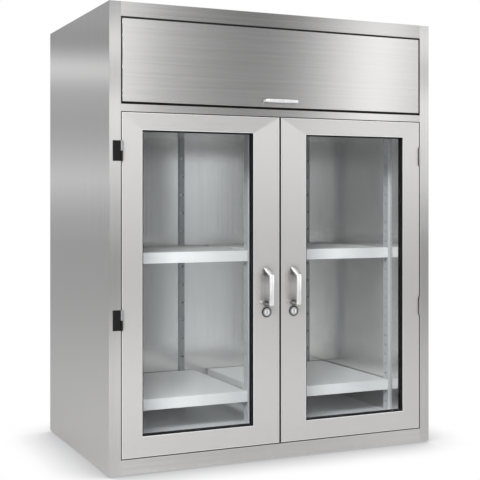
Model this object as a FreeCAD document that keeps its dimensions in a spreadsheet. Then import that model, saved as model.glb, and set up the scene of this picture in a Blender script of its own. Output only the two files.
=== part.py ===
"""Cleanroom garment cabinet: welded stainless carcass, two glazed doors, a lift-up flap above them.

X runs to the viewer's right, Y into the cabinet and Z up, in millimetres. The origin is the centre of
the floor footprint, handles included. Pieces are drawn with Y measured back from the front face, and
each one's Placement moves it to the shared origin.
"""
import FreeCAD, Part
import os
import re
import Sketcher

doc = FreeCAD.newDocument("GarmentCabinet")
sheet_of_sizes = doc.addObject("Spreadsheet::Sheet", "Sizes")

SIZES = {
    # carcass
    "width": 1219, "depth": 750, "height": 1524,
    "base_gap": 5, "bottom_rail": 48, "middle_rail": 23.5, "top_rail": 47, "flap_opening": 281.5,
    "wall": 39.5, "back_wall": 25, "sheet": 1.5, "bend": 1.2,
    "rear_return": 25, "liner_flange": 12, "top_lip": 25, "floor_lip": 40, "floor_rise": 28,
    "deck_thickness": 62.5, "ceiling_lip": 20, "stop_width": 12,
    # base and glides
    "channel_width": 50, "channel_inset": 20, "channel_sheet": 2,
    "glide_height": 8, "glide_pad": 40, "glide_stem": 10, "glide_stem_length": 20, "glide_inset": 60,
    "slip": 0.2,
    # shelving
    "post_width": 42, "post_depth": 34, "post_setback": 200,
    "standard_depth": 8, "rear_standard_width": 22, "rear_inner_offset": 59, "rear_outer_inset": 80,
    "hole_pitch": 36, "first_hole": 35, "hole_size": 7, "slot_width": 11,
    "clip_rise": 14, "clip_width": 16, "clip_ledge": 13, "peg_size": 6.6,
    "shelf_gap": 2, "shelf_lip": 38, "shelf_hem": 14, "shelf_flange": 25,
    # doors
    "door_thickness": 25, "door_gap": 3, "meeting_gap": 5, "stop_gap": 4,
    "meeting_stile": 98.5, "outer_stile": 70, "door_bottom_rail": 67, "door_top_rail": 56,
    "reveal_lip": 5, "gasket_lip": 4, "gasket_cover": 14, "glass_thickness": 5, "glass_bite": 10,
    "glass_setback": 12, "seal_inset": 3, "seal_width": 8, "seal_height": 3.5, "edge_seal": 1.8,
    # door hinges
    "hinge_length": 66, "upper_hinge_drop": 127, "lower_hinge_rise": 448.5, "barrel_radius": 3.5,
    "barrel_out": 3.8, "pin_radius": 1.5, "pin_clearance": 0.05, "leaf": 1.2, "leaf_depth": 22,
    "knuckle_gap": 0.3, "plate_width": 24, "plate_offset": 3, "plate_thickness": 2.5,
    # pulls
    "handle_reach": 45, "handle_width": 13, "handle_grip": 12, "handle_length": 128,
    "handle_slope": 24, "handle_above_lock": 24, "handle_round": 5.5,
    "flap_handle_length": 137, "flap_handle_reach": 38, "flap_handle_height": 17, "flap_handle_rise": 12,
    # locks and their rods
    "lock_height": 505, "bezel": 32, "bezel_height": 3, "lock_barrel": 24, "lock_length": 11,
    "plug": 19, "plug_proud": 0.6, "plug_clearance": 0.05, "keyway_width": 2.4, "keyway_height": 9,
    "keyway_depth": 6, "cam_plate": 2.3, "cam_width": 12, "cam_throw": 14, "cam_pin": 4,
    "rod_width": 14, "rod_thickness": 3, "rod_slack": 0.3, "yoke_height": 19, "yoke_slot": 11,
    "rod_rest": 0.5,
    # flap
    "flap_gap": 5, "flap_low_gap": 8, "flap_top_gap": 6, "flap_barrel": 2.4, "flap_pin": 1.2,
    "flap_axis_depth": 1, "flap_leaf": 1, "flap_leaf_depth": 20, "flap_seal": 2.5, "flap_seal_low": 3.5,
    "flap_seal_front": 6, "flap_seal_back": 18,
}
SHELF_STEPS = {"low": 2, "mid": 16}  # which hole of its standard carries each shelf, counted from zero
SLOT_STEP = 2  # holes of a side standard to one slot of a back standard
FLAP_KNUCKLES = 3
for row, (alias, value) in enumerate(SIZES.items(), 1):
    sheet_of_sizes.set(f"A{row}", alias)
    sheet_of_sizes.set(f"B{row}", str(value))
    sheet_of_sizes.setAlias(f"B{row}", alias)
doc.recompute()

# Places worked out from the sizes, as expressions
ORIGIN_SHIFT = "((handle_reach - depth) / 2)"
HALF = "(width / 2)"
INSIDE = "(width / 2 - wall)"
DOOR_SILL = "(base_gap + bottom_rail)"
FLOOR = f"({DOOR_SILL} + floor_rise)"
FLAP_HEAD = "(height - top_rail)"
DECK = "(height - top_rail - flap_opening)"
DOOR_HEAD = "(height - top_rail - flap_opening - middle_rail)"
CEILING = f"({DECK} - deck_thickness)"
JAMB = "(door_thickness + stop_gap)"
BACK = "(depth - back_wall)"
BASE_TOP = f"({FLOOR} - sheet)"
STANDARD_END = "(post_setback + post_depth)"
DOOR_IN, DOOR_OUT = "(meeting_gap / 2)", f"({INSIDE} - door_gap)"
DOOR_LOW, DOOR_TOP = f"({DOOR_SILL} + door_gap)", f"({DOOR_HEAD} - door_gap)"
PANE_IN, PANE_OUT = f"({DOOR_IN} + meeting_stile)", f"({DOOR_OUT} - outer_stile)"
PANE_LOW, PANE_TOP = f"({DOOR_LOW} + door_bottom_rail)", f"({DOOR_TOP} - door_top_rail)"
LOCK_X = "(meeting_gap / 2 + meeting_stile / 2)"
HINGE_X = f"({INSIDE} - door_gap / 2)"
HINGE_HEIGHTS = (f"({DOOR_HEAD} - upper_hinge_drop)", f"({DOOR_SILL} + lower_hinge_rise)")
CAM_BACK = "(lock_length + cam_plate)"
FLAP_SIDE = f"({INSIDE} - flap_gap)"
FLAP_LOW, FLAP_TOP = f"({DECK} + flap_low_gap)", f"({FLAP_HEAD} - flap_top_gap)"
FLAP_AXIS = f"({FLAP_HEAD} - flap_top_gap / 2)"
SHELF_IN = "(post_width / 2 + standard_depth + shelf_gap)"
SHELF_OUT = f"({INSIDE} - standard_depth - shelf_gap)"
SHELF_FRONT, SHELF_BACK = "(post_setback - shelf_gap)", f"({BACK} - standard_depth - shelf_gap)"
SHELF_TOPS = {name: f"({FLOOR} + first_hole + {step} * hole_pitch + clip_rise)" for name, step in SHELF_STEPS.items()}
REAR_OUTER = f"({INSIDE} - rear_outer_inset)"
REAR_LEFT_INNER, REAR_RIGHT_INNER = "(-post_width / 2 - rear_inner_offset)", f"({INSIDE} / 2)"
HANDLE_LOW = "(lock_height + handle_above_lock)"

WORD = re.compile(r"[a-z_]+")
PLANES = {"XY_Plane": 1, "XZ_Plane": -1, "YZ_Plane": 1}  # which way each plane's normal runs on its axis


def bound(expression):
    """The expression with each size's name turned into its cell."""
    return WORD.sub(lambda m: f"Sizes.{m[0]}" if m[0] in SIZES else m[0], expression)


def value_of(expression):
    return float(sheet_of_sizes.evalExpression(bound(expression)))


def origin_of(body, role):
    return next(o for o in body.Origin.OriginFeatures if o.Role == role)


def new_body(label):
    body = doc.addObject("PartDesign::Body", label)
    body.Label = label
    body.setExpression(".Placement.Base.y", bound(ORIGIN_SHIFT))
    return body


def pin_down(sketch, geometry, point, x, y):
    """Fixes one point of a sketch at two expressions."""
    for kind, expression in (("DistanceX", x), ("DistanceY", y)):
        constraint = Sketcher.Constraint(kind, -1, 1, geometry, point, value_of(expression))
        sketch.setExpression(f"Constraints[{sketch.addConstraint(constraint)}]", bound(expression))


def draw_polygon(sketch, points):
    corners = [FreeCAD.Vector(value_of(x), value_of(y), 0) for x, y in points]
    first, count = sketch.GeometryCount, len(points)
    for i in range(count):
        sketch.addGeometry(Part.LineSegment(corners[i], corners[(i + 1) % count]), False)
    for i in range(count):
        sketch.addConstraint(Sketcher.Constraint("Coincident", first + i, 2, first + (i + 1) % count, 1))
    for i, (x, y) in enumerate(points):
        pin_down(sketch, first + i, 1, x, y)


def draw_circle(sketch, x, y, diameter):
    centre = FreeCAD.Vector(value_of(x), value_of(y), 0)
    circle = sketch.addGeometry(Part.Circle(centre, FreeCAD.Vector(0, 0, 1), value_of(diameter) / 2), False)
    pin_down(sketch, circle, 3, x, y)
    constraint = Sketcher.Constraint("Diameter", circle, value_of(diameter))
    sketch.setExpression(f"Constraints[{sketch.addConstraint(constraint)}]", bound(diameter))


def rectangle(x0, y0, x1, y1):
    return [(x0, y0), (x1, y0), (x1, y1), (x0, y1)]


def square(x, y, size):
    return rectangle(f"{x} - {size} / 2", f"{y} - {size} / 2", f"{x} + {size} / 2", f"{y} + {size} / 2")


def draw(body, plane, start, shapes):
    """A sketch at start along the plane's axis. A shape is a list of corners, or a circle's x, y, diameter."""
    sketch = body.newObject("Sketcher::SketchObject", "Outline")
    sketch.AttachmentSupport = [(origin_of(body, plane), "")]
    sketch.MapMode = "FlatFace"
    sketch.setExpression(".AttachmentOffset.Base.z", bound(f"{PLANES[plane]} * ({start})"))
    for shape in shapes:
        if isinstance(shape, tuple):
            draw_circle(sketch, *shape)
        else:
            draw_polygon(sketch, shape)
    return sketch


def pad(body, plane, start, end, *shapes):
    feature = body.newObject("PartDesign::Pad", "Pad")
    feature.Profile = draw(body, plane, start, shapes)
    feature.Reversed = PLANES[plane] < 0
    feature.setExpression("Length", bound(f"({end}) - ({start})"))
    return feature


def cut(body, plane, start, end, *shapes):
    """A pocket from start to end along the plane's axis, which must take material away."""
    doc.recompute()
    before = body.Shape.Volume
    feature = body.newObject("PartDesign::Pocket", "Pocket")
    feature.Profile = draw(body, plane, start, shapes)
    feature.Reversed = PLANES[plane] > 0
    feature.setExpression("Length", bound(f"({end}) - ({start})"))
    doc.recompute()
    assert body.Shape.Volume < before, f"a pocket in {body.Label} cuts nothing"
    return feature


def repeat(body, feature, axis, length, count):
    pattern = body.newObject("PartDesign::LinearPattern", "Pattern")
    pattern.Originals = [feature]
    pattern.Direction = (origin_of(body, axis), [""])
    pattern.setExpression("Length", bound(length))
    pattern.Occurrences = count
    body.Tip = pattern
    doc.recompute()


def soften(body, radius, wanted):
    """Fillets the edges whose ends all satisfy wanted(x, y, z) in the piece's own coordinates."""
    doc.recompute()
    tip = body.Tip
    names = [f"Edge{i}" for i, edge in enumerate(tip.Shape.Edges, 1)
             if all(wanted(*v.Point) for v in edge.Vertexes)]
    fillet = body.newObject("PartDesign::Fillet", "Fillet")
    fillet.Base = (tip, names)
    fillet.setExpression("Radius", bound(radius))
    doc.recompute()
    assert fillet.isValid(), f"a fillet in {body.Label} fails"


def near(a, b):
    return abs(a - b) < 0.01


def round_bar(body, across):
    """Rounds the outer long edges of a bow pull, which lie square to the given axis, 0 for X or 2 for Z."""
    doc.recompute()
    tip = body.Tip
    along = 2 - across
    ends = [v.Point[along] for v in tip.Shape.Vertexes if near(v.Point[1], 0)]
    reach = min(v.Point[1] for v in tip.Shape.Vertexes)
    outside = lambda p: near(p[1], reach) or near(p[1], 0) and (near(p[along], min(ends)) or near(p[along], max(ends)))
    names = [f"Edge{i}" for i, edge in enumerate(tip.Shape.Edges, 1)
             if near(edge.Vertexes[0].Point[across], edge.Vertexes[-1].Point[across])
             and all(outside(v.Point) for v in edge.Vertexes)]
    fillet = body.newObject("PartDesign::Fillet", "Fillet")
    fillet.Base = (tip, names)
    fillet.setExpression("Radius", bound("handle_round"))
    doc.recompute()
    assert fillet.isValid(), f"a fillet in {body.Label} fails"


def tray(label, x, y, z, open_side):
    """A folded pan: a sheet with four flanges, open at the top or the bottom."""
    (x0, x1), (y0, y1), (z0, z1) = x, y, z
    body = new_body(label)
    pad(body, "XY_Plane", z0, z1, rectangle(x0, y0, x1, y1))
    inside = rectangle(f"{x0} + sheet", f"{y0} + sheet", f"{x1} - sheet", f"{y1} - sheet")
    low, high = (z0, f"{z1} - sheet") if open_side == "bottom" else (f"{z0} + sheet", z1)
    cut(body, "XY_Plane", low, high, inside)
    return body


def mirrored(source, label):
    copy = doc.addObject("Part::Mirroring", label)
    copy.Label = label
    copy.Source = source
    copy.Normal = (1, 0, 0)
    return copy


def group(label, *sources):
    """One node of separate solids."""
    compound = doc.addObject("Part::Compound", label)
    compound.Label = label
    compound.Links = list(sources)
    return compound


def both_sides(label, *sources):
    copies = [mirrored(source, f"{source.Label} mirrored") for source in sources]
    return group(label, *sources, *copies)


def left_and_right(piece):
    """The right piece, whose label ends in _right, and its mirror image on the left."""
    return [piece, mirrored(piece, piece.Label.replace("_right", "_left"))]


def side_skin():
    """Outer side sheet, folded in front to make the stile and its jamb, and behind to hold the back."""
    body = new_body("side_skin_right")
    pad(body, "XY_Plane", "base_gap", "height", [
        (INSIDE, "0"), (HALF, "0"), (HALF, "depth"), (f"{HALF} - rear_return", "depth"),
        (f"{HALF} - rear_return", "depth - sheet"), (f"{HALF} - sheet", "depth - sheet"),
        (f"{HALF} - sheet", "sheet"), (INSIDE, "sheet")])
    pad(body, "XY_Plane", "base_gap", "height - top_lip", rectangle(INSIDE, "0", f"{INSIDE} + sheet", JAMB))
    half, depth = value_of(HALF), value_of("depth")
    soften(body, "bend", lambda x, y, z: near(x, half) and (near(y, 0) or near(y, depth)))
    return body


def side_liner():
    """Inner side sheet, with a flange turned into the hollow wall at each end."""
    body = new_body("side liner half")
    pad(body, "XY_Plane", "base_gap", "height - sheet", [
        (INSIDE, JAMB), (f"{INSIDE} + liner_flange", JAMB), (f"{INSIDE} + liner_flange", f"{JAMB} + sheet"),
        (f"{INSIDE} + sheet", f"{JAMB} + sheet"), (f"{INSIDE} + sheet", f"{BACK} - sheet"),
        (f"{INSIDE} + liner_flange", f"{BACK} - sheet"), (f"{INSIDE} + liner_flange", BACK), (INSIDE, BACK)])
    return body


def flat_panel(label, x, y, z):
    (x0, x1), (y0, y1), (z0, z1) = x, y, z
    body = new_body(label)
    pad(body, "XZ_Plane", y0, y1, rectangle(x0, z0, x1, z1))
    return body


def rail(label, low, high, returns):
    """A face-frame rail: front face and the returns that fold back from its edges."""
    body = new_body(label)
    inner_low = f"{low} + sheet"
    outline = [("0", low), (JAMB, low), (JAMB, inner_low), ("sheet", inner_low)]
    if returns == 2:
        outline += [("sheet", f"{high} - sheet"), (JAMB, f"{high} - sheet"), (JAMB, high), ("0", high)]
    else:
        outline += [("sheet", high), ("0", high)]
    pad(body, "YZ_Plane", f"-{INSIDE}", INSIDE, outline)
    return body


def rod_slot(side, depth):
    """The outline, seen from above, of a latch rod's slot on one side of the centre."""
    middle = f"{side} * {LOCK_X}"
    return rectangle(f"{middle} - rod_width / 2 - rod_slack", f"{depth} - rod_slack",
                     f"{middle} + rod_width / 2 + rod_slack", f"{depth} + rod_thickness + rod_slack")


UPPER_ROD = f"({CAM_BACK} + rod_slack)"
LOWER_ROD = f"({CAM_BACK} + rod_thickness + 2 * rod_slack)"


def face_rails():
    top = rail("top_rail", FLAP_HEAD, "height", 1)
    middle = rail("middle_rail", DOOR_HEAD, DECK, 2)
    cut(middle, "XY_Plane", DOOR_HEAD, f"{DOOR_HEAD} + sheet", rod_slot(1, UPPER_ROD), rod_slot(-1, UPPER_ROD))
    bottom = rail("bottom_rail", "base_gap", DOOR_SILL, 2)
    cut(bottom, "XY_Plane", f"{DOOR_SILL} - sheet", DOOR_SILL, rod_slot(1, LOWER_ROD), rod_slot(-1, LOWER_ROD))
    return [top, middle, bottom]


CHANNEL_OUT = f"({INSIDE} - channel_inset)"
CHANNEL_IN = f"({CHANNEL_OUT} - channel_width)"
GLIDE_X = f"({CHANNEL_OUT} - channel_width / 2)"
GLIDE_FRONT, GLIDE_RUN = f"({JAMB} + glide_inset)", f"({BACK} - {JAMB} - 2 * glide_inset)"


def base_channel():
    """A channel under the floor, from front to back, which carries two glides."""
    body = new_body("base channel half")
    web = "(glide_height + channel_sheet)"
    pad(body, "XZ_Plane", f"{JAMB} + sheet", f"{BACK} - sheet", [
        (CHANNEL_IN, BASE_TOP), (CHANNEL_IN, "glide_height"), (CHANNEL_OUT, "glide_height"),
        (CHANNEL_OUT, BASE_TOP), (f"{CHANNEL_OUT} - channel_sheet", BASE_TOP),
        (f"{CHANNEL_OUT} - channel_sheet", web), (f"{CHANNEL_IN} + channel_sheet", web),
        (f"{CHANNEL_IN} + channel_sheet", BASE_TOP)])
    hole = cut(body, "XY_Plane", "glide_height", web, square(GLIDE_X, GLIDE_FRONT, "(glide_stem + 2 * slip)"))
    repeat(body, hole, "Y_Axis", GLIDE_RUN, 2)
    return body


def glide():
    """Two nylon glides, each a round pad with a square stem pressed into the channel."""
    body = new_body("glide half")
    foot = pad(body, "XY_Plane", "0", "glide_height", (GLIDE_X, GLIDE_FRONT, "glide_pad"))
    repeat(body, foot, "Y_Axis", GLIDE_RUN, 2)
    stem = pad(body, "XY_Plane", "glide_height", "glide_height + glide_stem_length",
               square(GLIDE_X, GLIDE_FRONT, "glide_stem"))
    repeat(body, stem, "Y_Axis", GLIDE_RUN, 2)
    return body


def rows_between(low, high):
    """How many holes of the shelf pitch fit a standard of this height."""
    room = value_of(f"{high} - {low} - 2 * first_hole")
    return int(room // value_of("hole_pitch")) + 1


def side_standard(label, wall_face, inward):
    """A shelf standard on a side wall or on the post: a shallow channel with a row of square holes."""
    face = f"({wall_face} {'-' if inward < 0 else '+'} standard_depth)"
    behind = f"({face} {'+' if inward < 0 else '-'} sheet)"
    body = new_body(label)
    front, end = "post_setback", STANDARD_END
    pad(body, "XY_Plane", FLOOR, CEILING, [
        (wall_face, front), (face, front), (face, end), (wall_face, end), (wall_face, f"{end} - sheet"),
        (behind, f"{end} - sheet"), (behind, f"{front} + sheet"), (wall_face, f"{front} + sheet")])
    low, high = (face, behind) if inward < 0 else (behind, face)
    hole = cut(body, "YZ_Plane", low, high,
               square(f"(({front} + {end}) / 2)", f"({FLOOR} + first_hole)", "hole_size"))
    rows = rows_between(FLOOR, CEILING)
    repeat(body, hole, "Z_Axis", f"{rows - 1} * hole_pitch", rows)
    return body


def rear_standard(label, centre):
    """A shelf standard on the back wall, with a ladder of level slots."""
    body = new_body(label)
    left, right = f"({centre} - rear_standard_width / 2)", f"({centre} + rear_standard_width / 2)"
    face = f"({BACK} - standard_depth)"
    pad(body, "XY_Plane", FLOOR, CEILING, [
        (left, BACK), (left, face), (right, face), (right, BACK), (f"{right} - sheet", BACK),
        (f"{right} - sheet", f"{face} + sheet"), (f"{left} + sheet", f"{face} + sheet"), (f"{left} + sheet", BACK)])
    middle = f"({FLOOR} + first_hole)"
    slot = cut(body, "XZ_Plane", face, f"{face} + sheet", rectangle(
        f"{centre} - slot_width / 2", f"{middle} - hole_size / 2",
        f"{centre} + slot_width / 2", f"{middle} + hole_size / 2"))
    rows = (rows_between(FLOOR, CEILING) + 1) // SLOT_STEP
    repeat(body, slot, "Z_Axis", f"{(rows - 1) * SLOT_STEP} * hole_pitch", rows)
    return body


def centre_post():
    body = new_body("centre_post")
    outer = rectangle("-post_width / 2", "post_setback", "post_width / 2", STANDARD_END)
    inner = rectangle("sheet - post_width / 2", "post_setback + sheet", "post_width / 2 - sheet",
                      f"{STANDARD_END} - sheet")
    pad(body, "XY_Plane", FLOOR, CEILING, outer, inner)
    return body


def shelf(level):
    """A folded shelf: deep hemmed lip in front, shallower flanges at the sides and the back."""
    body = new_body(f"{level}_shelf_right")
    top, front, back = SHELF_TOPS[level], SHELF_FRONT, SHELF_BACK
    pad(body, "YZ_Plane", SHELF_IN, SHELF_OUT, [
        (front, top), (back, top), (back, f"{top} - shelf_flange"), (f"{back} - sheet", f"{top} - shelf_flange"),
        (f"{back} - sheet", f"{top} - sheet"), (f"{front} + sheet", f"{top} - sheet"),
        (f"{front} + sheet", f"{top} - shelf_lip + sheet"), (f"{front} + shelf_hem", f"{top} - shelf_lip + sheet"),
        (f"{front} + shelf_hem", f"{top} - shelf_lip"), (front, f"{top} - shelf_lip")])
    for edge, inner in ((SHELF_IN, f"{SHELF_IN} + sheet"), (f"{SHELF_OUT} - sheet", SHELF_OUT)):
        pad(body, "YZ_Plane", edge, inner, rectangle(front, f"{top} - shelf_flange", back, top))
    face, z = value_of(front), value_of(top)
    soften(body, "bend", lambda x, y, h: near(y, face) and near(h, z))
    return body


def side_clip(label, level, face, inward):
    """A clip whose peg sits in a square hole and whose ledge carries the shelf's side flange."""
    body = new_body(label)
    top = SHELF_TOPS[level]
    step = "-" if inward < 0 else "+"
    ledge = f"({top} - shelf_flange)"
    middle = f"((post_setback + {STANDARD_END}) / 2)"
    pad(body, "XZ_Plane", f"{middle} - clip_width / 2", f"{middle} + clip_width / 2", [
        (face, f"{ledge} - sheet"), (f"{face} {step} clip_ledge", f"{ledge} - sheet"),
        (f"{face} {step} clip_ledge", ledge), (f"{face} {step} sheet", ledge),
        (f"{face} {step} sheet", f"{top} - clip_rise / 2"), (face, f"{top} - clip_rise / 2")])
    peg_end = f"{face} {'+' if inward < 0 else '-'} 2.5 * sheet"
    low, high = (f"{face} - sheet", peg_end) if inward < 0 else (peg_end, f"{face} + sheet")
    pad(body, "YZ_Plane", low, high, square(middle, f"({top} - clip_rise)", "peg_size"))
    return body


def rear_clip(label, level, centre):
    """A clip whose tongue sits in a slot of the back standard and whose ledge carries the rear flange."""
    body = new_body(label)
    top = SHELF_TOPS[level]
    face, ledge = f"({BACK} - standard_depth)", f"({top} - shelf_flange)"
    pad(body, "YZ_Plane", f"{centre} - clip_width / 2", f"{centre} + clip_width / 2", [
        (face, f"{ledge} - sheet"), (f"{face} - clip_ledge", f"{ledge} - sheet"), (f"{face} - clip_ledge", ledge),
        (f"{face} - sheet", ledge), (f"{face} - sheet", f"{top} - clip_rise / 2"), (face, f"{top} - clip_rise / 2")])
    pad(body, "XZ_Plane", f"{face} - sheet", f"{face} + 2.5 * sheet", rectangle(
        f"{centre} - slot_width / 2 + slip", f"{top} - clip_rise - peg_size / 2",
        f"{centre} + slot_width / 2 - slip", f"{top} - clip_rise + peg_size / 2"))
    return body


def shelf_clips():
    clips = []
    for level in SHELF_TOPS:
        clips += [
            both_sides(f"{level} clip pairs",
                       side_clip(f"{level} wall clip", level, f"({INSIDE} - standard_depth)", -1),
                       side_clip(f"{level} post clip", level, "(post_width / 2 + standard_depth)", 1),
                       rear_clip(f"{level} rear outer clip", level, REAR_OUTER)),
            rear_clip(f"{level} rear left inner clip", level, REAR_LEFT_INNER),
            rear_clip(f"{level} rear right inner clip", level, REAR_RIGHT_INNER)]
    return group("shelf_clips", *clips)


def rear_standards():
    """Two in each bay: one by each side wall, one left of the post and one in the middle of the right bay."""
    pair = both_sides("rear outer standards", rear_standard("rear outer standard", REAR_OUTER))
    return group("rear_standards", pair, rear_standard("rear left inner standard", REAR_LEFT_INNER),
                 rear_standard("rear right inner standard", REAR_RIGHT_INNER))


def stop_angle(label, low, high):
    """An angle on the side liner that a door or the flap closes against."""
    body = new_body(label)
    pad(body, "XY_Plane", low, high, [
        (INSIDE, JAMB), (f"{INSIDE} - stop_width", JAMB), (f"{INSIDE} - stop_width", f"{JAMB} + sheet"),
        (f"{INSIDE} - sheet", f"{JAMB} + sheet"), (f"{INSIDE} - sheet", f"{JAMB} + stop_width"),
        (INSIDE, f"{JAMB} + stop_width")])
    return body


def around_pane(margin):
    return rectangle(f"{PANE_IN} - {margin}", f"{PANE_LOW} - {margin}", f"{PANE_OUT} + {margin}",
                     f"{PANE_TOP} + {margin}")


def door_frame():
    """The door's outer pan: front sheet, edge flanges and a short return round the window."""
    body = new_body("door_frame_right")
    pad(body, "XZ_Plane", "0", "door_thickness", rectangle(DOOR_IN, DOOR_LOW, DOOR_OUT, DOOR_TOP))
    cut(body, "XZ_Plane", "sheet", "door_thickness", rectangle(
        f"{DOOR_IN} + sheet", f"{DOOR_LOW} + sheet", f"{DOOR_OUT} - sheet", f"{DOOR_TOP} - sheet"))
    pad(body, "XZ_Plane", "sheet", "reveal_lip", around_pane("sheet"))
    cut(body, "XZ_Plane", "0", "reveal_lip", around_pane("0"))
    cut(body, "XZ_Plane", "0", "sheet", square(LOCK_X, "lock_height", "(lock_barrel + slip)"))
    cut(body, "XY_Plane", f"{DOOR_TOP} - sheet", DOOR_TOP, rod_slot(1, UPPER_ROD))
    cut(body, "XY_Plane", DOOR_LOW, f"{DOOR_LOW} + sheet", rod_slot(1, LOWER_ROD))
    xs = [value_of(e) for e in (DOOR_IN, DOOR_OUT, PANE_IN, PANE_OUT)]
    zs = [value_of(e) for e in (DOOR_LOW, DOOR_TOP, PANE_LOW, PANE_TOP)]
    soften(body, "bend", lambda x, y, z: near(y, 0) and any(near(x, v) for v in xs) and any(near(z, v) for v in zs))
    return body


def ring(label, plane, start, end, outer, inner):
    body = new_body(label)
    pad(body, plane, start, end, outer, inner)
    return body


def door_liner():
    outer = rectangle(f"{DOOR_IN} + sheet", f"{DOOR_LOW} + sheet", f"{DOOR_OUT} - sheet", f"{DOOR_TOP} - sheet")
    return ring("door_liner_right", "XZ_Plane", "door_thickness - sheet", "door_thickness", outer,
                around_pane("gasket_cover"))


def glazing_gasket():
    """A rubber channel that grips the glass all round."""
    body = ring("glazing_gasket_right", "XZ_Plane", "reveal_lip", "door_thickness",
                around_pane("gasket_cover"), around_pane("-gasket_lip"))
    cut(body, "XZ_Plane", "glass_setback", "glass_setback + glass_thickness", around_pane("glass_bite"))
    return body


def window_glass():
    body = new_body("window_glass_right")
    pad(body, "XZ_Plane", "glass_setback", "glass_setback + glass_thickness", around_pane("glass_bite"))
    return body


def inset_door(amount):
    return rectangle(f"{DOOR_IN} + {amount}", f"{DOOR_LOW} + {amount}", f"{DOOR_OUT} - {amount}",
                     f"{DOOR_TOP} - {amount}")


def door_seal():
    """A rubber seal round the door's back, which wraps over the meeting edge."""
    body = ring("door_seal_right", "XZ_Plane", "door_thickness", "door_thickness + seal_height",
                inset_door("seal_inset"), inset_door("(seal_inset + seal_width)"))
    edge = f"{DOOR_IN} - edge_seal"
    pad(body, "XY_Plane", f"{DOOR_LOW} + seal_inset", f"{DOOR_TOP} - seal_inset", [
        (edge, "seal_inset"), (DOOR_IN, "seal_inset"), (DOOR_IN, "door_thickness"),
        (f"{DOOR_IN} + seal_inset + sheet", "door_thickness"),
        (f"{DOOR_IN} + seal_inset + sheet", "door_thickness + sheet"), (edge, "door_thickness + sheet")])
    return body


def door_handle():
    """A bow pull whose top leg slopes down to the grip and whose bottom leg is level."""
    body = new_body("door_handle_right")
    top, low = f"({HANDLE_LOW} + handle_length)", HANDLE_LOW
    grip = "(handle_grip - handle_reach)"
    pad(body, "YZ_Plane", f"{LOCK_X} - handle_width / 2", f"{LOCK_X} + handle_width / 2", [
        ("0", top), ("-handle_reach", f"{top} - handle_slope"), ("-handle_reach", low), ("0", low),
        ("0", f"{low} + handle_grip"), (grip, f"{low} + handle_grip"),
        (grip, f"{top} - handle_slope - handle_grip / 2"), ("0", f"{top} - 1.4 * handle_grip")])
    round_bar(body, 0)
    return body


def knuckle(body, low, high, arm):
    """One knuckle of a door hinge: a barrel with its arm, bored for the pin."""
    pad(body, "XY_Plane", low, high, (HINGE_X, "-barrel_out", "2 * barrel_radius"))
    pad(body, "XY_Plane", low, high, arm)


def bore_hinges(body):
    for z in HINGE_HEIGHTS:
        cut(body, "XY_Plane", f"{z} - hinge_length", f"{z} + hinge_length",
            (HINGE_X, "-barrel_out", "2 * pin_radius + 2 * pin_clearance"))


def concealed_leaves():
    """Frame leaves of the right door's hinges, on the jamb inside the gap. The lower knuckle holds the pin."""
    body = new_body("hinge_leaves_right")
    for z in HINGE_HEIGHTS:
        pad(body, "XY_Plane", f"{z} - hinge_length / 2", f"{z} + hinge_length / 2",
            rectangle(f"{INSIDE} - leaf", "0", INSIDE, "leaf_depth"))
        knuckle(body, f"{z} - hinge_length / 2", f"{z} - knuckle_gap / 2",
                rectangle(f"{INSIDE} - leaf", "-barrel_out", INSIDE, "leaf"))
    bore_hinges(body)
    return body


def face_plates():
    """Frame plates of the left door's hinges, on the face of the stile, drawn on the right and mirrored."""
    body = new_body("hinge plate half")
    inner = f"({INSIDE} + plate_offset)"
    outer = f"({inner} + plate_width)"
    for z in HINGE_HEIGHTS:
        low, high = f"({z} - hinge_length / 2)", f"({z} + hinge_length / 2)"
        pad(body, "XZ_Plane", "-plate_thickness", "0", rectangle(inner, low, outer, high))
        knuckle(body, low, f"{z} - knuckle_gap / 2",
                rectangle(HINGE_X, "-plate_thickness", f"{inner} + leaf", "barrel_radius - barrel_out"))
        cut(body, "XZ_Plane", "-plate_thickness", "leaf / 2 - plate_thickness", rectangle(
            f"{inner} + 4 * leaf", f"{low} + 4 * leaf", f"{outer} - 4 * leaf", f"{high} - 4 * leaf"))
    bore_hinges(body)
    return body


def door_leaves():
    """Door leaves, screwed to the door's hinge edge. The upper knuckle lifts off the pin with the door."""
    body = new_body("door_hinge_leaves_right")
    for z in HINGE_HEIGHTS:
        pad(body, "XY_Plane", f"{z} - hinge_length / 2", f"{z} + hinge_length / 2",
            rectangle(DOOR_OUT, "0", f"{DOOR_OUT} + leaf", "leaf_depth"))
        knuckle(body, f"{z} + knuckle_gap / 2", f"{z} + hinge_length / 2",
                rectangle(DOOR_OUT, "-barrel_out", f"{DOOR_OUT} + leaf", "leaf"))
    bore_hinges(body)
    return body


def hinge_pin(z):
    body = new_body("hinge pin")
    pad(body, "XY_Plane", f"{z} - hinge_length / 2", f"{z} + hinge_length / 2",
        (HINGE_X, "-barrel_out", "2 * pin_radius"))
    return body


def lock_body():
    """The lock's housing: bezel in front of the sheet, square body behind it that can't turn in its hole."""
    body = new_body("lock_body_right")
    pad(body, "XZ_Plane", "-bezel_height", "0", (LOCK_X, "lock_height", "bezel"))
    pad(body, "XZ_Plane", "0", "lock_length", square(LOCK_X, "lock_height", "lock_barrel"))
    cut(body, "XZ_Plane", "-bezel_height", "lock_length", (LOCK_X, "lock_height", "plug + 2 * plug_clearance"))
    return body


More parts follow.
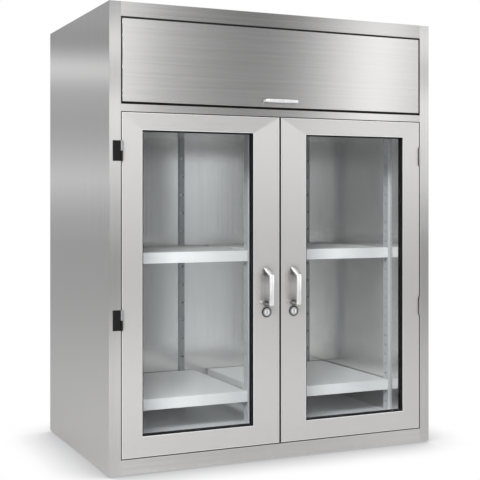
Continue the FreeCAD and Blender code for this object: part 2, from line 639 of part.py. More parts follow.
def lock_plug():
    """The turning plug, with its keyway, and the cam riveted to its tail, whose two pins drive the rods."""
    body = new_body("lock_plug_right")
    face = "(-bezel_height - plug_proud)"
    pad(body, "XZ_Plane", face, "lock_length", (LOCK_X, "lock_height", "plug"))
    tip = "(cam_throw + cam_pin)"
    pad(body, "XZ_Plane", "lock_length", CAM_BACK, rectangle(
        f"{LOCK_X} - {tip}", "lock_height - cam_width / 2", f"{LOCK_X} + {tip}", "lock_height + cam_width / 2"))
    for step, end in (("+", f"{UPPER_ROD} + rod_thickness"), ("-", f"{LOWER_ROD} + rod_thickness")):
        pin = f"({LOCK_X} {step} cam_throw)"
        pad(body, "XZ_Plane", CAM_BACK, end, (pin, "lock_height", "cam_pin"))
    cut(body, "XZ_Plane", face, f"{face} + keyway_depth", rectangle(
        f"{LOCK_X} - keyway_width / 2", "lock_height - keyway_height / 2",
        f"{LOCK_X} + keyway_width / 2", "lock_height + keyway_height / 2"))
    return body


def latch_rod(label, side, depth, end, way):
    """A flat rod inside the meeting stile. Its yoke has a cross slot for the cam's pin."""
    body = new_body(label)
    far = f"({LOCK_X} {side} (cam_throw + cam_pin / 2 + rod_slack + 3))"
    near_edge = f"({LOCK_X} {'-' if side == '+' else '+'} rod_width / 2)"
    slot_far = f"({LOCK_X} {side} (cam_throw + cam_pin / 2 + rod_slack))"
    slot_near = f"({LOCK_X} {'-' if side == '+' else '+'} (cam_pin / 2 + rod_slack))"
    pad(body, "XZ_Plane", depth, f"{depth} + rod_thickness", rectangle(
        near_edge, "lock_height - yoke_height / 2", far, "lock_height + yoke_height / 2"))
    inner = "lock_height + yoke_height / 2 - 1" if way > 0 else "lock_height - yoke_height / 2 + 1"
    pad(body, "XZ_Plane", depth, f"{depth} + rod_thickness", rectangle(
        f"{LOCK_X} - rod_width / 2", inner, f"{LOCK_X} + rod_width / 2", end))
    cut(body, "XZ_Plane", depth, f"{depth} + rod_thickness", rectangle(
        slot_near, "lock_height - yoke_slot / 2", slot_far, "lock_height + yoke_slot / 2"))
    return body


def flap_pan():
    """The flap's outer pan, folded back on all four sides."""
    body = new_body("flap_pan")
    pad(body, "XZ_Plane", "0", "door_thickness", rectangle(f"-{FLAP_SIDE}", FLAP_LOW, FLAP_SIDE, FLAP_TOP))
    cut(body, "XZ_Plane", "sheet", "door_thickness", rectangle(
        f"sheet - {FLAP_SIDE}", f"{FLAP_LOW} + sheet", f"{FLAP_SIDE} - sheet", f"{FLAP_TOP} - sheet"))
    side, low, top = value_of(FLAP_SIDE), value_of(FLAP_LOW), value_of(FLAP_TOP)
    soften(body, "bend", lambda x, y, z: near(y, 0) and near(abs(x), side) and (near(z, low) or near(z, top)))
    return body


FLAP_GRIP_Z = f"({FLAP_LOW} + flap_handle_rise + flap_handle_height / 2)"


def flap_handle():
    """A level bow pull near the flap's lower edge."""
    body = new_body("flap_handle")
    half, grip = "(flap_handle_length / 2)", "(handle_grip - flap_handle_reach)"
    pad(body, "XY_Plane", f"{FLAP_GRIP_Z} - flap_handle_height / 2", f"{FLAP_GRIP_Z} + flap_handle_height / 2", [
        (f"-{half}", "0"), (f"-{half}", "-flap_handle_reach"), (half, "-flap_handle_reach"), (half, "0"),
        (f"{half} - handle_grip", "0"), (f"{half} - handle_grip", grip), (f"handle_grip - {half}", grip),
        (f"handle_grip - {half}", "0")])
    round_bar(body, 2)
    return body


def flap_seal():
    """A rubber edge strip down the flap's sides and along its lower edge."""
    body = new_body("flap_seal")
    out, low = f"({FLAP_SIDE} + flap_seal)", f"({FLAP_LOW} - flap_seal_low)"
    pad(body, "XZ_Plane", "flap_seal_front", "flap_seal_back", [
        (f"-{out}", FLAP_TOP), (f"-{out}", low), (out, low), (out, FLAP_TOP), (FLAP_SIDE, FLAP_TOP),
        (FLAP_SIDE, FLAP_LOW), (f"-{FLAP_SIDE}", FLAP_LOW), (f"-{FLAP_SIDE}", FLAP_TOP)])
    return body


FLAP_KNUCKLE = f"(2 * {FLAP_SIDE} / {FLAP_KNUCKLES})"


def flap_hinge_leaf(label, first, leaf_low, arm_low, arm_high):
    """One leaf of the continuous hinge, with every other knuckle starting at the given one."""
    body = new_body(label)
    behind = "(flap_axis_depth + flap_barrel + knuckle_gap)"
    pad(body, "YZ_Plane", f"-{FLAP_SIDE}", FLAP_SIDE, rectangle(
        behind, leaf_low, "flap_axis_depth + flap_leaf_depth", f"{leaf_low} + flap_leaf"))
    low = f"({first} * {FLAP_KNUCKLE} - {FLAP_SIDE})"
    end = f"({low} + {FLAP_KNUCKLE} - knuckle_gap)"
    barrels = (FLAP_KNUCKLES - first + 1) // 2
    run = f"{2 * (barrels - 1)} * {FLAP_KNUCKLE}"
    arm = pad(body, "YZ_Plane", low, end, rectangle(
        "flap_axis_depth", arm_low, f"{behind} + flap_leaf", arm_high))
    repeat(body, arm, "X_Axis", run, barrels)
    barrel = pad(body, "YZ_Plane", low, end, ("flap_axis_depth", FLAP_AXIS, "2 * flap_barrel"))
    repeat(body, barrel, "X_Axis", run, barrels)
    cut(body, "YZ_Plane", f"-{HALF}", HALF, ("flap_axis_depth", FLAP_AXIS, "2 * flap_pin + 2 * pin_clearance"))
    return body


def flap_hinge_pin():
    body = new_body("flap_hinge_pin")
    pad(body, "YZ_Plane", f"-{FLAP_SIDE}", FLAP_SIDE, ("flap_axis_depth", FLAP_AXIS, "2 * flap_pin"))
    return body


def carcass():
    across = (f"-{INSIDE}", INSIDE)
    inner_depth = (JAMB, BACK)
    outer = (f"sheet - {HALF}", f"{HALF} - sheet")
    nested = (f"sheet - {INSIDE}", f"{INSIDE} - sheet")
    lapped = (f"-({INSIDE} + liner_flange)", f"{INSIDE} + liner_flange")
    return [
        *left_and_right(side_skin()),
        both_sides("side_liners", side_liner()),
        flat_panel("back_panel", outer, ("depth - 2 * sheet", "depth - sheet"), ("base_gap", "height")),
        flat_panel("back_liner", lapped, (BACK, f"{BACK} + sheet"), ("base_gap", "height - sheet")),
        tray("top_panel", outer, ("sheet", "depth - 2 * sheet"), ("height - top_lip", "height"), "bottom"),
        tray("floor_pan", across, inner_depth, (f"{DOOR_SILL} - floor_lip", FLOOR), "bottom"),
        tray("deck_pan", across, inner_depth, (CEILING, DECK), "bottom"),
        tray("ceiling_panel", nested, (f"{JAMB} + sheet", f"{BACK} - sheet"),
             (CEILING, f"{CEILING} + ceiling_lip"), "top"),
        *face_rails(),
        both_sides("door_stops", stop_angle("door stop half", FLOOR, CEILING),
                   stop_angle("flap stop half", DECK, "height - top_lip")),
        both_sides("base_channels", base_channel()),
        both_sides("floor_glides", glide()),
    ]


def shelving():
    shelves = [piece for level in SHELF_TOPS for piece in left_and_right(shelf(level))]
    return [
        centre_post(),
        both_sides("wall_standards", side_standard("wall standard half", INSIDE, -1)),
        both_sides("post_standards", side_standard("post standard half", "(post_width / 2)", 1)),
        rear_standards(),
        *shelves,
        shelf_clips(),
    ]


def doors():
    upper = latch_rod("upper_latch_rod_right", "+", UPPER_ROD, f"{DOOR_TOP} - rod_rest", 1)
    lower = latch_rod("lower_latch_rod_right", "-", LOWER_ROD, f"{DOOR_LOW} + rod_rest", -1)
    pieces = [door_frame(), door_liner(), glazing_gasket(), window_glass(), door_seal(), door_handle(),
              door_leaves(), lock_body(), lock_plug(), upper, lower]
    pins = [hinge_pin(z) for z in HINGE_HEIGHTS]
    return [piece for right in pieces for piece in left_and_right(right)] + [
        concealed_leaves(), mirrored(face_plates(), "hinge_plates_left"), both_sides("hinge_pins", *pins)]


def flap():
    inner = rectangle(f"sheet - {FLAP_SIDE}", f"{FLAP_LOW} + sheet", f"{FLAP_SIDE} - sheet", f"{FLAP_TOP} - sheet")
    liner = new_body("flap_liner")
    pad(liner, "XZ_Plane", "door_thickness - sheet", "door_thickness", inner)
    return [
        flap_pan(), liner, flap_handle(), flap_seal(), flap_hinge_pin(),
        flap_hinge_leaf("flap_hinge_frame_leaf", 0, f"({FLAP_HEAD} - flap_leaf)", FLAP_AXIS, FLAP_HEAD),
        flap_hinge_leaf("flap_hinge_leaf", 1, FLAP_TOP, FLAP_TOP, FLAP_AXIS),
    ]


nodes = carcass() + shelving() + doors() + flap()
doc.recompute()

for item in doc.Objects:
    assert not {"Invalid", "Error"} & set(item.State), f"{item.Label}: {item.State}"
for node in nodes:
    assert not node.Shape.isNull() and node.Shape.isValid(), f"{node.Label} has no valid shape"
    assert node.Shape.Solids, f"{node.Label} holds no solid"

os.makedirs("parts", exist_ok=True)
for node in nodes:
    node.Shape.exportStep(f"parts/{node.Label}.step")
print(f"{len(nodes)} nodes, {sum(len(node.Shape.Solids) for node in nodes)} solids")
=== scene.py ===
"""Looks of the cleanroom garment cabinet, in metres and in the frame of its solids.

Brushed stainless sheet, two glazed doors under a lift-up flap, black rubber seals and polished pulls.
"""
import math
import bpy
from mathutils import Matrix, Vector


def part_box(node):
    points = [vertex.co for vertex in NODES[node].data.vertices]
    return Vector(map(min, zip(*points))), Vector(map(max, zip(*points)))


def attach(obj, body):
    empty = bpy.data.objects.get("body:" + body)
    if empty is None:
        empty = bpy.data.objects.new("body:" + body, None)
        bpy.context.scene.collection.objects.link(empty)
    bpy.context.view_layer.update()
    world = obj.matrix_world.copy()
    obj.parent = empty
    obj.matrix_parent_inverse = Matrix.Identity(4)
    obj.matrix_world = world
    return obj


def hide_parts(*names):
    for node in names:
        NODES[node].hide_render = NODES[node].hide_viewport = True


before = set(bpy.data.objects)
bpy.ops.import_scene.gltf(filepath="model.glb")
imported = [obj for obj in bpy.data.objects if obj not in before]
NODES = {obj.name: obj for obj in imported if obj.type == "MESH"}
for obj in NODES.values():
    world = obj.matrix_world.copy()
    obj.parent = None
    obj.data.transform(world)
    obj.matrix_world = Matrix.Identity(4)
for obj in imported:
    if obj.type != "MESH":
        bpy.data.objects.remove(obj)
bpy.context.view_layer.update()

MM = 0.001
SIDES = ("left", "right")


# Camera at the photograph's viewing angle
FOCAL_PIXELS = 1047.9
PHOTO_PIXELS = 480
HORIZON_PIXEL = 199.7
SENSOR_MM = 36
VIEW_DEPTH = 60
CAMERA_YAW = math.radians(24.52)
CAMERA_FROM_FRONT = Vector((-1.615, -3.209, 0.888))
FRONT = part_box("side_skin_left")[0][1]


def add_camera():
    data = bpy.data.cameras.new("camera")
    camera = bpy.data.objects.new("camera", data)
    bpy.context.collection.objects.link(camera)
    data.sensor_width = SENSOR_MM
    data.lens = FOCAL_PIXELS / PHOTO_PIXELS * SENSOR_MM
    data.shift_y = (HORIZON_PIXEL - PHOTO_PIXELS / 2) / PHOTO_PIXELS
    data.clip_end = VIEW_DEPTH
    camera.location = CAMERA_FROM_FRONT + Vector((0, FRONT, 0))
    camera.rotation_euler = (math.radians(90), 0, -CAMERA_YAW)
    bpy.context.scene.camera = camera


add_camera()


# Colours and nodes
WHITE = "#FFFFFF"
NOISE_LOW, NOISE_HIGH = 0.3, 0.7  # most of a noise lies between these


def linear(hex_colour):
    """An sRGB hex colour as linear RGBA."""
    channels = [int(hex_colour[i:i + 2], 16) / 255 for i in (1, 3, 5)]
    return (*[c / 12.92 if c <= 0.04045 else ((c + 0.055) / 1.055) ** 2.4 for c in channels], 1)


def add_node(tree, kind, settings=None, inputs=None, links=None, stops=()):
    """Adds a node with its settings, socket values, links from other nodes and a colour ramp's stops."""
    node = tree.nodes.new(kind)
    for name, value in (settings or {}).items():
        setattr(node, name, value)
    for socket, value in (inputs or {}).items():
        node.inputs[socket].default_value = value
    for socket, source in (links or {}).items():
        tree.links.new(source, node.inputs[socket])
    for index, (place, colour) in enumerate(stops):
        elements = node.color_ramp.elements
        element = elements[index] if index < 2 else elements.new(place)
        element.position = place
        element.color = linear(colour) if isinstance(colour, str) else (colour, colour, colour, 1)
    return node


def empty_material(name):
    """A material with no nodes yet."""
    material = bpy.data.materials.new(name)
    material.use_nodes = True
    material.node_tree.nodes.clear()
    return material, material.node_tree


def new_material(name):
    """A material with a Principled shader on its output."""
    material, tree = empty_material(name)
    shader = add_node(tree, "ShaderNodeBsdfPrincipled")
    add_node(tree, "ShaderNodeOutputMaterial", links={"Surface": shader.outputs["BSDF"]})
    return material, tree, shader


def streaks(tree, grain, across_mm, along_mm, detail=3):
    """Noise drawn out along the grain, one streak across_mm wide and along_mm long."""
    place = add_node(tree, "ShaderNodeTexCoord")
    scale = [1000 / across_mm] * 3
    scale["XYZ".index(grain)] = 1000 / along_mm
    stretch = add_node(tree, "ShaderNodeMapping", inputs={"Scale": scale},
                       links={"Vector": place.outputs["Object"]})
    return add_node(tree, "ShaderNodeTexNoise", inputs={"Scale": 1, "Detail": detail, "Roughness": 0.6},
                    links={"Vector": stretch.outputs["Vector"]})


# Brushed sheet
FINE_STREAK = (2, 240)  # the real scratches are a tenth as wide, too fine to show
BROAD_STREAK = (8, 1100)
DOOR_STREAK = (0.9, 120)  # shorter and closer than on the carcass, still wider than the real scratches
GLOSS_SWING = 0.02
QUARTER_TURN = 0.25
# Each grain leans a little, so that a face folded square to it has a grain too
GRAINS = {"X": (1, 0, 0.01), "Z": (0.01, 0, 1)}


def brush(tree, shader, grain, scratches, colours, roughness, spread):
    """Draws a shader's highlights out across the grain, and returns the colour of its scratches."""
    tone = add_node(tree, "ShaderNodeValToRGB", links={"Fac": scratches},
                    stops=((NOISE_LOW, colours[0]), (NOISE_HIGH, colours[1])))
    gloss = add_node(tree, "ShaderNodeMapRange", inputs={
        "From Min": NOISE_LOW, "From Max": NOISE_HIGH,
        "To Min": roughness - GLOSS_SWING, "To Max": roughness + GLOSS_SWING}, links={"Value": scratches})
    along = add_node(tree, "ShaderNodeVectorTransform", {
        "vector_type": "VECTOR", "convert_from": "OBJECT", "convert_to": "WORLD"}, links={"Vector": grain})
    tree.links.new(gloss.outputs["Result"], shader.inputs["Roughness"])
    tree.links.new(along.outputs["Vector"], shader.inputs["Tangent"])
    shader.inputs["Anisotropic"].default_value = spread
    shader.inputs["Anisotropic Rotation"].default_value = QUARTER_TURN
    return tone.outputs["Color"]


def brushed_steel(name, grain, colours=("#C7C6C4", "#D3D2D0"), roughness=0.19, spread=1.0, metallic=1.0):
    """Grade 304 stainless, belt brushed: fine scratches one way, which draw highlights out across them."""
    material, tree, shader = new_material(name)
    fine = streaks(tree, grain, *FINE_STREAK)
    broad = streaks(tree, grain, *BROAD_STREAK, detail=2)
    scratches = add_node(tree, "ShaderNodeMix", {"data_type": "FLOAT"}, {"Factor": 0.5},
                         {"A": fine.outputs["Fac"], "B": broad.outputs["Fac"]})
    direction = add_node(tree, "ShaderNodeCombineXYZ", inputs=dict(zip("XYZ", GRAINS[grain])))
    colour = brush(tree, shader, direction.outputs["Vector"], scratches.outputs["Result"],
                   colours, roughness, spread)
    tree.links.new(colour, shader.inputs["Base Color"])
    shader.inputs["Metallic"].default_value = metallic
    return material


# Door sheet, mitred at its corners
# The folds get a white painted highlight this wide
FOLD_HIGHLIGHT_WIDTH = 1.6 * MM
SEAL_WRAP = 1.0 * MM
# Painted shade falls on the door sheet within this reach of other parts
PAINTED_SHADE_REACH = 40 * MM
DOOR_METALLIC = 0.78


def rail_share(tree, across, height, pane, door):
    """One on a door's rails and zero on its stiles, with mitres from its corners to its window's."""
    mitres = {}
    for end, choice in ((1, "MAXIMUM"), (0, "MINIMUM")):
        lines = [add_node(tree, "ShaderNodeMapRange", {"clamp": False}, {
            "From Min": door[side][0], "From Max": pane[side][0],
            "To Min": door[end][1], "To Max": pane[end][1]}, {"Value": across}) for side in (0, 1)]
        mitres[end] = add_node(tree, "ShaderNodeMath", {"operation": choice},
                               links={i: line.outputs["Result"] for i, line in enumerate(lines)})
    over = add_node(tree, "ShaderNodeMath", {"operation": "GREATER_THAN"},
                    links={0: height, 1: mitres[1].outputs["Value"]})
    under = add_node(tree, "ShaderNodeMath", {"operation": "LESS_THAN"},
                     links={0: height, 1: mitres[0].outputs["Value"]})
    rail = add_node(tree, "ShaderNodeMath", {"operation": "MAXIMUM"},
                    links={0: over.outputs["Value"], 1: under.outputs["Value"]})
    return rail.outputs["Value"]


def past_border(tree, across, height, rectangle):
    """Distance outside a rectangle's border, below zero within it."""
    (left, low), (right, high) = rectangle
    reaches = []
    for socket, start, end in ((across, left, right), (height, low, high)):
        offset = add_node(tree, "ShaderNodeMath", {"operation": "SUBTRACT"}, {1: (start + end) / 2},
                          {0: socket})
        away = add_node(tree, "ShaderNodeMath", {"operation": "ABSOLUTE"}, links={0: offset.outputs["Value"]})
        reaches.append(add_node(tree, "ShaderNodeMath", {"operation": "SUBTRACT"}, {1: (end - start) / 2},
                                {0: away.outputs["Value"]}))
    further = add_node(tree, "ShaderNodeMath", {"operation": "MAXIMUM"}, links={
        i: reach.outputs["Value"] for i, reach in enumerate(reaches)})
    return further.outputs["Value"]


def painted_fold_highlight(tree, across, height, pane, door):
    """One along the folds round a door and round its window, where a white highlight is painted, and zero on
    its flat sheet.
    """
    outer = add_node(tree, "ShaderNodeMath", {"operation": "GREATER_THAN"}, {1: -FOLD_HIGHLIGHT_WIDTH},
                     {0: past_border(tree, across, height, door)})
    inner = add_node(tree, "ShaderNodeMath", {"operation": "LESS_THAN"}, {1: FOLD_HIGHLIGHT_WIDTH},
                     {0: past_border(tree, across, height, pane)})
    fold = add_node(tree, "ShaderNodeMath", {"operation": "MAXIMUM"},
                    links={0: outer.outputs["Value"], 1: inner.outputs["Value"]})
    return fold.outputs["Value"]


def mitred_door_steel(name, pane, door):
    """Brushed stainless door sheet, welded at mitred corners.

    Its grain is level on the rails and upright on the stiles, and its folds carry a white painted highlight.
    Painted shade darkens it where other parts stand close, as round the pull, and its meeting edge wears
    a black seal.
    """
    material, tree, shader = new_material(name)
    place = add_node(tree, "ShaderNodeTexCoord")
    parts = add_node(tree, "ShaderNodeSeparateXYZ", links={"Vector": place.outputs["Object"]})
    from_middle = add_node(tree, "ShaderNodeMath", {"operation": "ABSOLUTE"}, links={0: parts.outputs["X"]})
    across, height = from_middle.outputs["Value"], parts.outputs["Z"]
    rail = rail_share(tree, across, height, pane, door)
    stile = add_node(tree, "ShaderNodeMath", {"operation": "SUBTRACT"}, {0: 1.0}, {1: rail})
    grain = add_node(tree, "ShaderNodeCombineXYZ", links={"X": rail, "Z": stile.outputs["Value"]})
    level, upright = streaks(tree, "X", *DOOR_STREAK), streaks(tree, "Z", *DOOR_STREAK)
    scratches = add_node(tree, "ShaderNodeMix", {"data_type": "FLOAT"}, links={
        "Factor": rail, "A": upright.outputs["Fac"], "B": level.outputs["Fac"]})
    flat = brush(tree, shader, grain.outputs["Vector"], scratches.outputs["Result"],
                 ("#CDCCCA", "#D3D2D0"), roughness=0.25, spread=0.6)
    # Painted highlight: the folds are coloured white, standing in for light caught on the bent edges
    fold_highlighted = add_node(tree, "ShaderNodeMix", {"data_type": "RGBA"}, {"B": linear(WHITE)}, {
        "Factor": painted_fold_highlight(tree, across, height, pane, door), "A": flat})
    meeting = add_node(tree, "ShaderNodeMath", {"operation": "LESS_THAN"}, {1: door[0][0] + SEAL_WRAP},
                       {0: across})
    sealed = add_node(tree, "ShaderNodeMix", {"data_type": "RGBA"}, {"B": linear("#0A0A0B")}, {
        "Factor": meeting.outputs["Value"], "A": fold_highlighted.outputs["Result"]})
    # Painted shade: occlusion darkens the sheet's colour where parts stand close, as round the pull
    near = add_node(tree, "ShaderNodeAmbientOcclusion", inputs={"Distance": PAINTED_SHADE_REACH})
    shade = add_node(tree, "ShaderNodeValToRGB", links={"Fac": near.outputs["AO"]},
                     stops=((0.55, "#6E6C69"), (0.95, WHITE)))
    shaded = add_node(tree, "ShaderNodeMix", {"data_type": "RGBA", "blend_type": "MULTIPLY"}, {"Factor": 1.0},
                      {"A": sealed.outputs["Result"], "B": shade.outputs["Color"]})
    metal = add_node(tree, "ShaderNodeMapRange", inputs={"To Min": DOOR_METALLIC, "To Max": 0.0},
                     links={"Value": meeting.outputs["Value"]})
    tree.links.new(shaded.outputs["Result"], shader.inputs["Base Color"])
    tree.links.new(metal.outputs["Result"], shader.inputs["Metallic"])
    return material


# Pulls, locks and small hardware
CLOUD_SIZE = (9, 18)
CRYSTAL_SIZE = (3, 4)
BEZEL_RADIUS = 16 * MM
KEYWAY_HALF_WIDTH, KEYWAY_HALF_HEIGHT = 1.7 * MM, 5.5 * MM


def polished_steel(name):
    """Stainless bar, barrel polished: soft clouds left by polishing, and a painted dark reflection along its
    edges.
    """
    material, tree, shader = new_material(name)
    clouds = streaks(tree, "Z", *CLOUD_SIZE, detail=2)
    cloudy = add_node(tree, "ShaderNodeValToRGB", links={"Fac": clouds.outputs["Fac"]},
                      stops=((NOISE_LOW, "#EDEDEE"), (NOISE_HIGH, "#FBFBFB")))
    # Painted reflection: the colour darkens where the faces turn from view, for the dark room that the edges
    # mirror
    turned = add_node(tree, "ShaderNodeLayerWeight", inputs={"Blend": 0.5})
    edge = add_node(tree, "ShaderNodeValToRGB", links={"Fac": turned.outputs["Facing"]},
                    stops=((0.42, WHITE), (0.62, "#8E8D8B"), (0.9, "#3C3B3A")))
    tone = add_node(tree, "ShaderNodeMix", {"data_type": "RGBA", "blend_type": "MULTIPLY"}, {"Factor": 1.0},
                    {"A": cloudy.outputs["Color"], "B": edge.outputs["Color"]})
    gloss = add_node(tree, "ShaderNodeMapRange", inputs={
        "From Min": NOISE_LOW, "From Max": NOISE_HIGH, "To Min": 0.16, "To Max": 0.24},
        links={"Value": clouds.outputs["Fac"]})
    tree.links.new(tone.outputs["Result"], shader.inputs["Base Color"])
    tree.links.new(gloss.outputs["Result"], shader.inputs["Roughness"])
    shader.inputs["Metallic"].default_value = 0.8
    return material


def lock_face_with_painted_shade(name, centre):
    """Chrome on turned brass: a bright face, painted shade as dark rings at its rims, and a keyway painted
    black.
    """
    material, tree, shader = new_material(name)
    place = add_node(tree, "ShaderNodeTexCoord")
    parts = add_node(tree, "ShaderNodeSeparateXYZ", links={"Vector": place.outputs["Object"]})
    from_middle = add_node(tree, "ShaderNodeMath", {"operation": "ABSOLUTE"}, links={0: parts.outputs["X"]})
    offsets = [add_node(tree, "ShaderNodeMath", {"operation": "SUBTRACT"}, {1: middle}, {0: socket})
               for socket, middle in zip((from_middle.outputs["Value"], parts.outputs["Z"]), centre)]
    flat = add_node(tree, "ShaderNodeCombineXYZ", links={
        "X": offsets[0].outputs["Value"], "Y": offsets[1].outputs["Value"]})
    radius = add_node(tree, "ShaderNodeVectorMath", {"operation": "LENGTH"},
                      links={0: flat.outputs["Vector"]})
    rings = add_node(tree, "ShaderNodeMapRange", inputs={"From Max": BEZEL_RADIUS},
                     links={"Value": radius.outputs["Value"]})
    # Painted shade: a dark ring round the bright face and a dark rim round the bezel
    tone = add_node(tree, "ShaderNodeValToRGB", links={"Fac": rings.outputs["Result"]}, stops=(
        (0.0, "#F4F4F4"), (0.50, "#F4F4F4"), (0.57, "#6A6A6B"), (0.63, "#B9B9BA"), (0.76, "#C9C9CA"),
        (0.84, "#4A4A4B"), (1.0, "#2B2B2C")))
    # Painted shade: the keyway is coloured black for its depth
    near = [add_node(tree, "ShaderNodeMath", {"operation": "COMPARE"}, {1: 0.0, 2: half},
                     {0: offset.outputs["Value"]})
            for offset, half in zip(offsets, (KEYWAY_HALF_WIDTH, KEYWAY_HALF_HEIGHT))]
    keyway = add_node(tree, "ShaderNodeMath", {"operation": "MULTIPLY"}, links={
        0: near[0].outputs["Value"], 1: near[1].outputs["Value"]})
    colour = add_node(tree, "ShaderNodeMix", {"data_type": "RGBA"}, {"B": linear("#121213")}, {
        "Factor": keyway.outputs["Value"], "A": tone.outputs["Color"]})
    tree.links.new(colour.outputs["Result"], shader.inputs["Base Color"])
    shader.inputs["Metallic"].default_value = 0.7
    shader.inputs["Roughness"].default_value = 0.34
    return material


def zinc_plated(name):
    """Bright zinc plate: pale bluish metal with a faint crystal mottle."""
    material, tree, shader = new_material(name)
    mottle = streaks(tree, "Z", *CRYSTAL_SIZE, detail=2)
    tone = add_node(tree, "ShaderNodeValToRGB", links={"Fac": mottle.outputs["Fac"]},
                    stops=((0.35, "#A9ADB2"), (0.65, "#C0C3C6")))
    tree.links.new(tone.outputs["Color"], shader.inputs["Base Color"])
    shader.inputs["Metallic"].default_value = 1.0
    shader.inputs["Roughness"].default_value = 0.38
    return material


# Black parts and glass
PEBBLE_HEIGHT = 0.3 * MM
HAZE_SIZE = (90, 260)


def dark_plastic(name, colours, roughness, pebble_mm, relief):
    """Rubber, nylon or powder coat: near black, with a fine pebble that scatters its highlights."""
    material, tree, shader = new_material(name)
    pebble = streaks(tree, "Z", pebble_mm, pebble_mm, 4)
    tone = add_node(tree, "ShaderNodeValToRGB", links={"Fac": pebble.outputs["Fac"]},
                    stops=((0.3, colours[0]), (0.75, colours[1])))
    bump = add_node(tree, "ShaderNodeBump", inputs={"Strength": relief, "Distance": PEBBLE_HEIGHT},
                    links={"Height": pebble.outputs["Fac"]})
    tree.links.new(tone.outputs["Color"], shader.inputs["Base Color"])
    tree.links.new(bump.outputs["Normal"], shader.inputs["Normal"])
    shader.inputs["Roughness"].default_value = roughness
    shader.inputs["Specular IOR Level"].default_value = 0.25
    return material


def toughened_glass(name):
    """Clear float glass: a thin sheet that mirrors at its outer faces and barely tints what lies behind."""
    material, tree = empty_material(name)
    haze = streaks(tree, "Z", *HAZE_SIZE, detail=2)
    tone = add_node(tree, "ShaderNodeValToRGB", links={"Fac": haze.outputs["Fac"]},
                    stops=((NOISE_LOW, "#F9FAFB"), (NOISE_HIGH, "#FCFDFD")))
    clear = add_node(tree, "ShaderNodeBsdfTransparent", links={"Color": tone.outputs["Color"]})
    mirror = add_node(tree, "ShaderNodeBsdfGlossy", inputs={"Roughness": 0.02})
    slant = add_node(tree, "ShaderNodeFresnel", inputs={"IOR": 1.25})
    side = add_node(tree, "ShaderNodeNewGeometry")
    outer = add_node(tree, "ShaderNodeMath", {"operation": "SUBTRACT"}, {0: 1.0},
                     {1: side.outputs["Backfacing"]})
    share = add_node(tree, "ShaderNodeMath", {"operation": "MULTIPLY"}, links={
        0: slant.outputs["Fac"], 1: outer.outputs["Value"]})
    glazed = add_node(tree, "ShaderNodeMixShader", links={
        0: share.outputs["Value"], 1: clear.outputs["BSDF"], 2: mirror.outputs["BSDF"]})
    add_node(tree, "ShaderNodeOutputMaterial", links={"Surface": glazed.outputs["Shader"]})
    return material


# The carcass and flap mirror the studio in long bands, upright or level as their sheet was brushed
STEEL = {grain: brushed_steel(f"brushed_stainless_{grain.lower()}", grain) for grain in GRAINS}
# The rail over the flap is a darker copy of the same steel: painted shade for the darker reflections that it
# shows
SHADED_RAIL_STEEL = brushed_steel("rail_stainless_painted_shade", "X", ("#B9B8B6", "#C6C5C3"))
# Inside, a satin finish with softer and shorter reflections, paler than the outer sheet as painted light for
# the dim inside
LIT_INNER_STEEL = {grain: brushed_steel(f"inner_stainless_{grain.lower()}", grain, ("#E4E4E2", "#ECECEA"),
                                    roughness=0.22, spread=0.5, metallic=0.94) for grain in GRAINS}
# Shelves and floor are of dull sheet, coloured almost white with little metal as painted light, so that they
# read bright under the lamps
LIT_SHELF_STEEL = brushed_steel("shelf_stainless", "X", ("#F7F7F6", "#FBFBFA"), 0.42, 0.6, 0.1)
LIT_FLOOR_STEEL = brushed_steel("floor_stainless", "X", ("#F4F5F6", "#FAFBFC"), 0.35, 0.6, 0.15)
# Standards are dull bluish rolled strip, paler in front as painted light and darker at the back as painted
# shade
STANDARD_STEEL = brushed_steel("standard_stainless", "Z", ("#D4D6D8", "#DEE0E2"), 0.4, 0.6, 0.3)
SHADED_REAR_STANDARD_STEEL = brushed_steel("rear_standard_painted_shade", "Z", ("#A4A7AA", "#B0B3B6"), 0.35, 0.6, 0.7)

GLASS_BITE = 10 * MM  # how far the glass reaches under the door's frame
door_low, door_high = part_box("door_frame_right")
glass_low, glass_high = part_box("window_glass_right")
DOOR_STEEL = mitred_door_steel(
    "door_stainless",
    pane=[(glass_low[0] + GLASS_BITE, glass_low[2] + GLASS_BITE),
          (glass_high[0] - GLASS_BITE, glass_high[2] - GLASS_BITE)],
    door=[(door_low[0], door_low[2]), (door_high[0], door_high[2])])
plug_low, plug_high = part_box("lock_plug_right")
LOCK_FACE = lock_face_with_painted_shade(
    "lock_chrome", centre=((plug_low[0] + plug_high[0]) / 2, (plug_low[2] + plug_high[2]) / 2))
POLISHED = polished_steel("polished_stainless")
ZINC = zinc_plated("zinc_plate")
BLACK_COAT = dark_plastic("black_powder_coat", ("#060606", "#0F0F10"), 0.5, 1.2, 0.2)
RUBBER = dark_plastic("black_epdm_rubber", ("#0A0A0B", "#161617"), 0.6, 0.8, 0.15)
NYLON = dark_plastic("black_nylon", ("#101011", "#1E1E20"), 0.5, 1.0, 0.1)
GLASS = toughened_glass("toughened_glass")


def both(*names):
    """The left and the right node of each name."""
    return [f"{name}_{side}" for name in names for side in SIDES]


